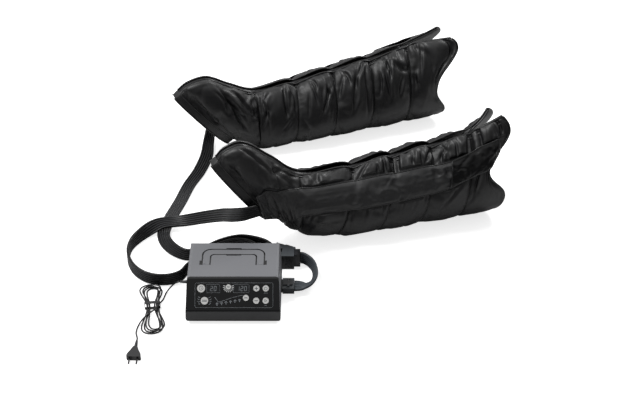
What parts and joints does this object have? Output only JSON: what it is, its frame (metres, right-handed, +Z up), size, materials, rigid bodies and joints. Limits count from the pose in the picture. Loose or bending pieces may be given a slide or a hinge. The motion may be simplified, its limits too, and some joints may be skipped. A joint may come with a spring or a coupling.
{
  "type": "pair of compression boots",
  "caption": "Two six-chamber air compression boots with front zips, flat hoses, a splitter, a control unit with handle and buttons, and a coiled mains lead.",
  "frame": {"origin": "on the floor, under the middle of the footprint of the two boots and the control unit", "axes": "+X to the right along the control unit's front, +Y away from the user towards the far boot, +Z up"},
  "size_m": [1.0228, 1.1856, 0.319],
  "materials": {
    "dark_plastic": "fine texture, matte",
    "grey_plastic": "fine texture, satin",
    "gloss_black": "high gloss",
    "white_button": "satin gloss",
    "foot_rubber": "matte",
    "hose_black": "satin, ribbed lengthwise",
    "hose_grey": "satin",
    "circuit_board": "satin",
    "pump_metal": "brushed",
    "boot_nylon": "coated nylon, satin sheen",
    "sleeve_nylon": "coated nylon, matte",
    "zip_tape": "matte",
    "slider_metal": "polished",
    "cord_black": "satin"
  },
  "bodies": {
    "set": {"base_shell": "dark_plastic", "foot_1": "foot_rubber", "foot_2": "foot_rubber", "foot_3": "foot_rubber", "foot_4": "foot_rubber", "top_cover": "grey_plastic", "front_fascia": "gloss_black", "panel_overlay": "gloss_black", "control_board": "circuit_board", "air_pump": "pump_metal", "valve_body": "dark_plastic", "air_socket": "dark_plastic", "outlet_duct": "foot_rubber", "cord_gland": "cord_black", "near_hose": "hose_black", "far_hose": "hose_black", "link_hose": "hose_grey", "near_hose_plug": "dark_plastic", "far_hose_plug": "dark_plastic", "hose_splitter": "dark_plastic", "unit_hose_plug": "hose_grey", "power_cord_hank": "cord_black", "power_cord_lead": "cord_black", "power_cord_tail": "cord_black", "hank_tie": "cord_black", "mains_plug": "cord_black", "near_foot_chamber": "boot_nylon", "near_leg_chamber_1": "boot_nylon", "near_leg_chamber_2": "boot_nylon", "near_leg_chamber_3": "boot_nylon", "near_leg_chamber_4": "boot_nylon", "near_leg_chamber_5": "boot_nylon", "near_sole": "boot_nylon", "near_zip": "zip_tape", "near_hose_sleeve": "sleeve_nylon", "far_foot_chamber": "boot_nylon", "far_leg_chamber_1": "boot_nylon", "far_leg_chamber_2": "boot_nylon", "far_leg_chamber_3": "boot_nylon", "far_leg_chamber_4": "boot_nylon", "far_leg_chamber_5": "boot_nylon", "far_sole": "boot_nylon", "far_zip": "zip_tape", "far_hose_sleeve": "sleeve_nylon"},
    "handle": {"carry_handle": "grey_plastic"},
    "valve_rotor": {"valve_rotor": "white_button"},
    "plug_latch": {"unit_plug_latch": "cord_black"},
    "near_slider": {"near_zip_slider": "slider_metal"},
    "near_pull": {"near_zip_pull": "slider_metal"},
    "far_slider": {"far_zip_slider": "slider_metal"},
    "far_pull": {"far_zip_pull": "slider_metal"},
    "timer_button": {"timer_button": "white_button"},
    "pressure_button": {"pressure_button": "white_button"},
    "mode_button": {"mode_button": "white_button"},
    "chamber_button": {"chamber_button": "white_button"},
    "increase_button": {"increase_button": "white_button"},
    "power_button": {"power_button": "white_button"},
    "decrease_button": {"decrease_button": "white_button"},
    "start_button": {"start_button": "white_button"}
  },
  "joints": [
    {"name": "handle_hinge", "type": "hinge", "parent": "set", "child": "handle", "pos_m": [-0.26881, -0.4089, 0.1015], "axis": [1, 0, 0], "range_deg": [0, 96]},
    {"name": "timer_button_press", "type": "slide", "parent": "set", "child": "timer_button", "axis": [0, 0.7663, -0.6425], "range_m": [0, 0.0008], "stiffness_N_per_m": 900, "springref_m": -0.0006},
    {"name": "pressure_button_press", "type": "slide", "parent": "set", "child": "pressure_button", "axis": [0, 0.7663, -0.6425], "range_m": [0, 0.0008], "stiffness_N_per_m": 900, "springref_m": -0.0006},
    {"name": "mode_button_press", "type": "slide", "parent": "set", "child": "mode_button", "axis": [0, 0.7663, -0.6425], "range_m": [0, 0.0008], "stiffness_N_per_m": 900, "springref_m": -0.0006},
    {"name": "chamber_button_press", "type": "slide", "parent": "set", "child": "chamber_button", "axis": [0, 0.7663, -0.6425], "range_m": [0, 0.0008], "stiffness_N_per_m": 900, "springref_m": -0.0006},
    {"name": "increase_button_press", "type": "slide", "parent": "set", "child": "increase_button", "axis": [0, 0.7663, -0.6425], "range_m": [0, 0.0008], "stiffness_N_per_m": 900, "springref_m": -0.0006},
    {"name": "power_button_press", "type": "slide", "parent": "set", "child": "power_button", "axis": [0, 0.7663, -0.6425], "range_m": [0, 0.0008], "stiffness_N_per_m": 900, "springref_m": -0.0006},
    {"name": "decrease_button_press", "type": "slide", "parent": "set", "child": "decrease_button", "axis": [0, 0.7663, -0.6425], "range_m": [0, 0.0008], "stiffness_N_per_m": 900, "springref_m": -0.0006},
    {"name": "start_button_press", "type": "slide", "parent": "set", "child": "start_button", "axis": [0, 0.7663, -0.6425], "range_m": [0, 0.0008], "stiffness_N_per_m": 900, "springref_m": -0.0006},
    {"name": "near_zip_slide", "type": "slide", "parent": "set", "child": "near_slider", "axis": [-0.9588, -0.2569, -0.1214], "range_m": [0, 0.299]},
    {"name": "near_pull_hinge", "type": "hinge", "parent": "near_slider", "child": "near_pull", "pos_m": [0.3362, -0.02885, 0.23361], "axis": [0.2588, -0.9659, 0], "range_deg": [0, 160]},
    {"name": "far_zip_slide", "type": "slide", "parent": "set", "child": "far_slider", "axis": [-0.9384, -0.3176, -0.1361], "range_m": [0, 0.314]},
    {"name": "far_pull_hinge", "type": "hinge", "parent": "far_slider", "child": "far_pull", "pos_m": [0.1843, 0.41904, 0.2293], "axis": [0.3206, -0.9472, 0], "range_deg": [0, 160]},
    {"name": "plug_latch_hinge", "type": "hinge", "parent": "set", "child": "plug_latch", "pos_m": [-0.13001, -0.3954, 0.0297], "axis": [0, 1, 0], "range_deg": [0, 5], "stiffness_Nm_per_rad": 0.2, "springref_deg": -5.73},
    {"name": "valve_turn", "type": "hinge", "parent": "set", "child": "valve_rotor", "pos_m": [-0.21481, -0.3904, 0.0306], "axis": [0, 0, 1], "continuous": true}
  ]
}
